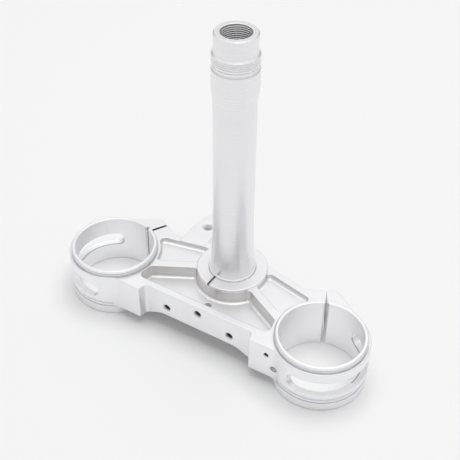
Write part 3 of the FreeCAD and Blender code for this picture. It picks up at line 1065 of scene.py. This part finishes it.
@dataclass
class ClampYoke:
    """The clamp: its finish, and the threads in the tapped holes that can be seen.

    The holes of the right pad are given as name, distance inwards from the fork axis, height
    over the feet, radius and depth, and the hole in the lug as X, Y and radius.
    """

    node: str = "lower_yoke"
    fork_x: float = 90.0
    rail_face: float = -49.5
    rail_thickness: float = 5.2
    rail_bevel: float = 0.4
    rail_radius: float = 2.9
    rail_reach: float = 27.2
    rail_height: float = 22.6
    rail_depth: float = 16.0
    middle_height: float = 30.5
    pad_face: float = -56.5
    pad_bevel: float = 0.3
    pad_holes: tuple[tuple[str, float, float, float, float], ...] = (
        ("pad_thread_upper", 28.3, 29.3, 1.9, 9.0),
        ("pad_thread_lower", 21.9, 18.0, 2.5, 4.0),
    )
    lug_hole: tuple[float, float, float] = (-41.5, 30.8, 3.6)
    lug_top: float = 38.5
    lug_bevel: float = 1.1
    lug_depth: float = 14.7
    lug_pitch: float = 1.25
    lug_tooth: float = 0.45
    lug_around: int = 64

    def rail_threads(self) -> list[ScrewThread]:
        """The threads of the three holes in the front rail, of which the middle one goes through.

        Returns:
            The threads: right, left and middle.
        """
        holes = [FrontHole(f"front_thread_{side.name.lower()}", side.value * self.rail_reach,
                           self.rail_height, self.rail_radius, self.rail_depth, self.rail_bevel,
                           self.rail_face)
                 for side in Side]
        holes.append(FrontHole("front_thread_middle", 0.0, self.middle_height, self.rail_radius,
                               self.rail_thickness, self.rail_bevel, self.rail_face, blind=False))
        return [hole.thread() for hole in holes]

    def pad_threads(self) -> list[ScrewThread]:
        """The threads of the two holes in the right pad.

        Returns:
            The threads: upper and lower.
        """
        holes = [FrontHole(name, self.fork_x - reach, height, radius, depth, self.pad_bevel, self.pad_face)
                 for name, reach, height, radius, depth in self.pad_holes]
        return [hole.thread() for hole in holes]

    def lug_thread(self) -> ScrewThread:
        """The thread of the hole through the lug.

        Returns:
            The thread.
        """
        x, y, radius = self.lug_hole
        length = self.lug_depth - self.lug_bevel
        return ScrewThread("lug_thread", Thread.INSIDE, radius, length, self.lug_pitch, self.lug_tooth,
                           (x, y, self.lug_top - HUB_TOP), start=self.lug_bevel,
                           around=self.lug_around)

    def dress(self, frame: dict, shop: Workshop) -> None:
        """Gives the node its finish and adds the threads.

        Args:
            shop: The shared groups.
        """
        dress_node(frame, self.node, BlastedClamp().build(shop))
        # The front holes and the small pad hole get painted shade far inside.
        front = CutThread(name="front thread", face=self.rail_face).build(shop)
        small = CutThread(name="small pad thread", face=self.pad_face, fade=(0.5, 1.3)).build(shop)
        # The wide pad hole gets a dark thread as painted shade near its mouth, and painted light far inside.
        wide = CutThread(name="wide pad thread", dark=(0.12, 0.12, 0.125), light=(0.22, 0.22, 0.225),
                         face=self.pad_face, fade=(0.5, 1.1), deep_painted_tone=(0.75, 0.75, 0.76)).build(shop)
        # Painted light: the lug hole's thread is pale and non-metal, so the hole shows light.
        pale = CutThread(name="lug thread", dark=(0.90, 0.90, 0.91), light=(0.96, 0.96, 0.965),
                         metal=0.0).build(shop)
        for thread in self.rail_threads():
            thread.make(front, Slot.YOKE)
        for thread, finish in zip(self.pad_threads(), (small, wide)):
            thread.make(finish, Slot.YOKE)
        self.lug_thread().make(pale, Slot.YOKE)


@dataclass
class Studio:
    """A plain pale floor and sky, soft light from high above, and the photograph's camera.

    The softbox, the fade of the floor and the camera's clip are in metres.
    """

    floor_height: float = -HUB_TOP
    floor_half: float = 4000.0
    floor_color: Color = (0.89, 0.89, 0.89)
    floor_dark: Color = (0.88555, 0.88555, 0.88555)
    floor_mottle: float = 2.0
    floor_fade: tuple[float, float] = (0.8, 2.4)
    sky_on_floor: float = 0.55
    sky_seen: float = 0.91
    sky_mirrored: tuple[float, float] = (0.45, 0.93)
    sky_rise: tuple[float, float] = (0.0, 0.55)
    softbox_place: tuple[float, float, float] = (0.10, 0.35, 3.00)
    softbox_aim: tuple[float, float, float] = (0.0, -0.02, 0.03)
    softbox_size: float = 2.4
    softbox_power: float = 59.0
    mirrored_share: float = 0.33
    camera_place: tuple[float, float, float] = (257.233, -435.493, 464.211)
    azimuth: float = 0.538
    elevation: float = 0.703
    roll: float = 0.014
    focal_pixels: float = 903.262
    picture_width: float = 460.0
    sensor_width: float = 36.0
    clip: tuple[float, float] = (0.01, 50.0)

    def build_floor(self) -> None:
        """A flat square sheet under the feet of the sleeves, on which the shadows fall."""
        h = self.floor_half
        corners = np.array([(-h, -h), (h, -h), (h, h), (-h, h)])
        points = np.column_stack([corners, np.full(4, self.floor_height)]) * MM
        mesh = bpy.data.meshes.new("floor")
        mesh.from_pydata(points.tolist(), [], [(0, 1, 2, 3)])
        mesh.materials.append(self.matt_floor())
        floor = bpy.data.objects.new("floor", mesh)
        bpy.context.scene.collection.objects.link(floor)

    def matt_floor(self) -> bpy.types.Material:
        """The floor's finish: matt and pale, with a very faint mottle.

        Returns:
            The material.
        """
        b = Bench("pale floor")
        mottle = b.node("ShaderNodeTexNoise", Vector=b.place, Scale=self.floor_mottle)
        b.wire("Base Color", b.blend(mottle.outputs[0], self.floor_dark, self.floor_color))
        b.wire("Roughness", 1.0)
        b.wire("Specular IOR Level", 0.0)
        self.fade_floor(b)
        return b.material

    def fade_floor(self, b: Bench) -> None:
        """Lets the floor run into the pale sky far from the part, and vanish as seen from below.

        Both are for the camera's rays alone. Formula: share of the sky's strength = smooth step
        of the distance from the stem axis, between the two limits of the fade.

        Args:
            b: The floor's material.
        """
        seen = b.node("ShaderNodeLightPath").outputs["Is Camera Ray"]
        length = b.tree.nodes.new("ShaderNodeVectorMath")
        length.operation = "LENGTH"
        b.feed(length.inputs[0], b.place)
        far = b.step(length.outputs["Value"], self.floor_fade, (0.0, 1.0))
        below = b.node("ShaderNodeNewGeometry").outputs["Backfacing"]
        glow = b.node("ShaderNodeEmission", Strength=self.sky_seen)
        clear = b.node("ShaderNodeBsdfTransparent")
        last = b.shader.outputs["BSDF"]
        for mask, layer in ((far, glow), (below, clear)):
            mixed = b.tree.nodes.new("ShaderNodeMixShader")
            for index, value in enumerate((b.both(mask, seen), last, layer.outputs[0])):
                b.feed(mixed.inputs[index], value)
            last = mixed.outputs[0]
        b.feed(b.out.inputs["Surface"], last)

    def build_sky(self) -> None:
        """The world's light, with one strength for each kind of ray.

        The metal mirrors a sky that is dim at the horizon and brighter above. Formula: strength
        = low + (high - low) * smooth step of the direction's height between the two limits of
        the rise. The camera sees one pale strength, and the matt floor gets another, so that
        its shadows come from the softbox.
        """
        world = bpy.data.worlds.new("studio")
        bpy.context.scene.world = world
        world.use_nodes = True
        desk = NodeDesk(world.node_tree)
        desk.tree.nodes.clear()
        height = desk.split(desk.node("ShaderNodeTexCoord").outputs["Generated"])[2]
        rays = desk.node("ShaderNodeLightPath").outputs
        mirrored = desk.step(height, self.sky_rise, self.sky_mirrored)
        strength = desk.mix(rays["Is Glossy Ray"], self.sky_on_floor, mirrored)
        strength = desk.mix(rays["Is Camera Ray"], strength, self.sky_seen)
        back = desk.node("ShaderNodeBackground", Color=(1.0, 1.0, 1.0), Strength=strength)
        desk.node("ShaderNodeOutputWorld", Surface=back.outputs[0])

    def add_softbox(self, name: str, power: float, mirrored: bool) -> None:
        """Adds one square soft light that looks at the part's middle.

        Args:
            name: The light's name.
            power: Its power, in watts.
            mirrored: Whether the metal mirrors it, or only the matt floor takes its light.
        """
        data = bpy.data.lights.new(name, "AREA")
        data.shape = "SQUARE"
        data.size = self.softbox_size
        data.energy = power
        light = bpy.data.objects.new(name, data)
        light.location = self.softbox_place
        light.visible_glossy = mirrored
        aim = Vector(self.softbox_aim) - Vector(self.softbox_place)
        light.rotation_euler = aim.to_track_quat("-Z", "Y").to_euler()
        bpy.context.scene.collection.objects.link(light)

    def build_camera(self) -> None:
        """The camera, solved from the photograph's rims and edges, with no shift.

        Formula: the camera looks along minus d, where d = (sin a cos e, -cos a cos e, sin e)
        for azimuth a and elevation e, and is then rolled about d.
        """
        a, e, roll = self.azimuth, self.elevation, self.roll
        d = Vector((math.sin(a) * math.cos(e), -math.cos(a) * math.cos(e), math.sin(e)))
        right = (-d).cross(Vector((0.0, 0.0, 1.0))).normalized()
        up = right.cross(-d)
        across = right * math.cos(roll) + up * math.sin(roll)
        above = up * math.cos(roll) - right * math.sin(roll)
        data = bpy.data.cameras.new("camera")
        data.sensor_width = self.sensor_width
        data.lens = self.focal_pixels * self.sensor_width / self.picture_width
        data.clip_start, data.clip_end = self.clip
        camera = bpy.data.objects.new("camera", data)
        columns = Matrix((across, above, d)).transposed().to_4x4()
        camera.matrix_world = Matrix.Translation(Vector(self.camera_place) * MM) @ columns
        bpy.context.scene.collection.objects.link(camera)
        bpy.context.scene.camera = camera

    def build(self) -> None:
        """Builds floor, light and camera, and sets the plain view transform."""
        self.build_floor()
        self.build_sky()
        key = self.softbox_power * self.mirrored_share
        self.add_softbox("softbox above", key, True)
        self.add_softbox("softbox for the floor", self.softbox_power - key, False)
        self.build_camera()
        bpy.context.scene.view_settings.view_transform = "Standard"
        log.info("studio: floor, light and camera")


def main() -> None:
    """Loads the frame, dresses stem and clamp, and builds the studio."""
    logging.basicConfig(level=logging.INFO, format="%(name)s %(message)s")
    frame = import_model()
    Studio().build()
    shop = Workshop()
    SteeringStem().dress(frame, shop)
    ClampYoke().dress(frame, shop)


if __name__ == "__main__":
    main()
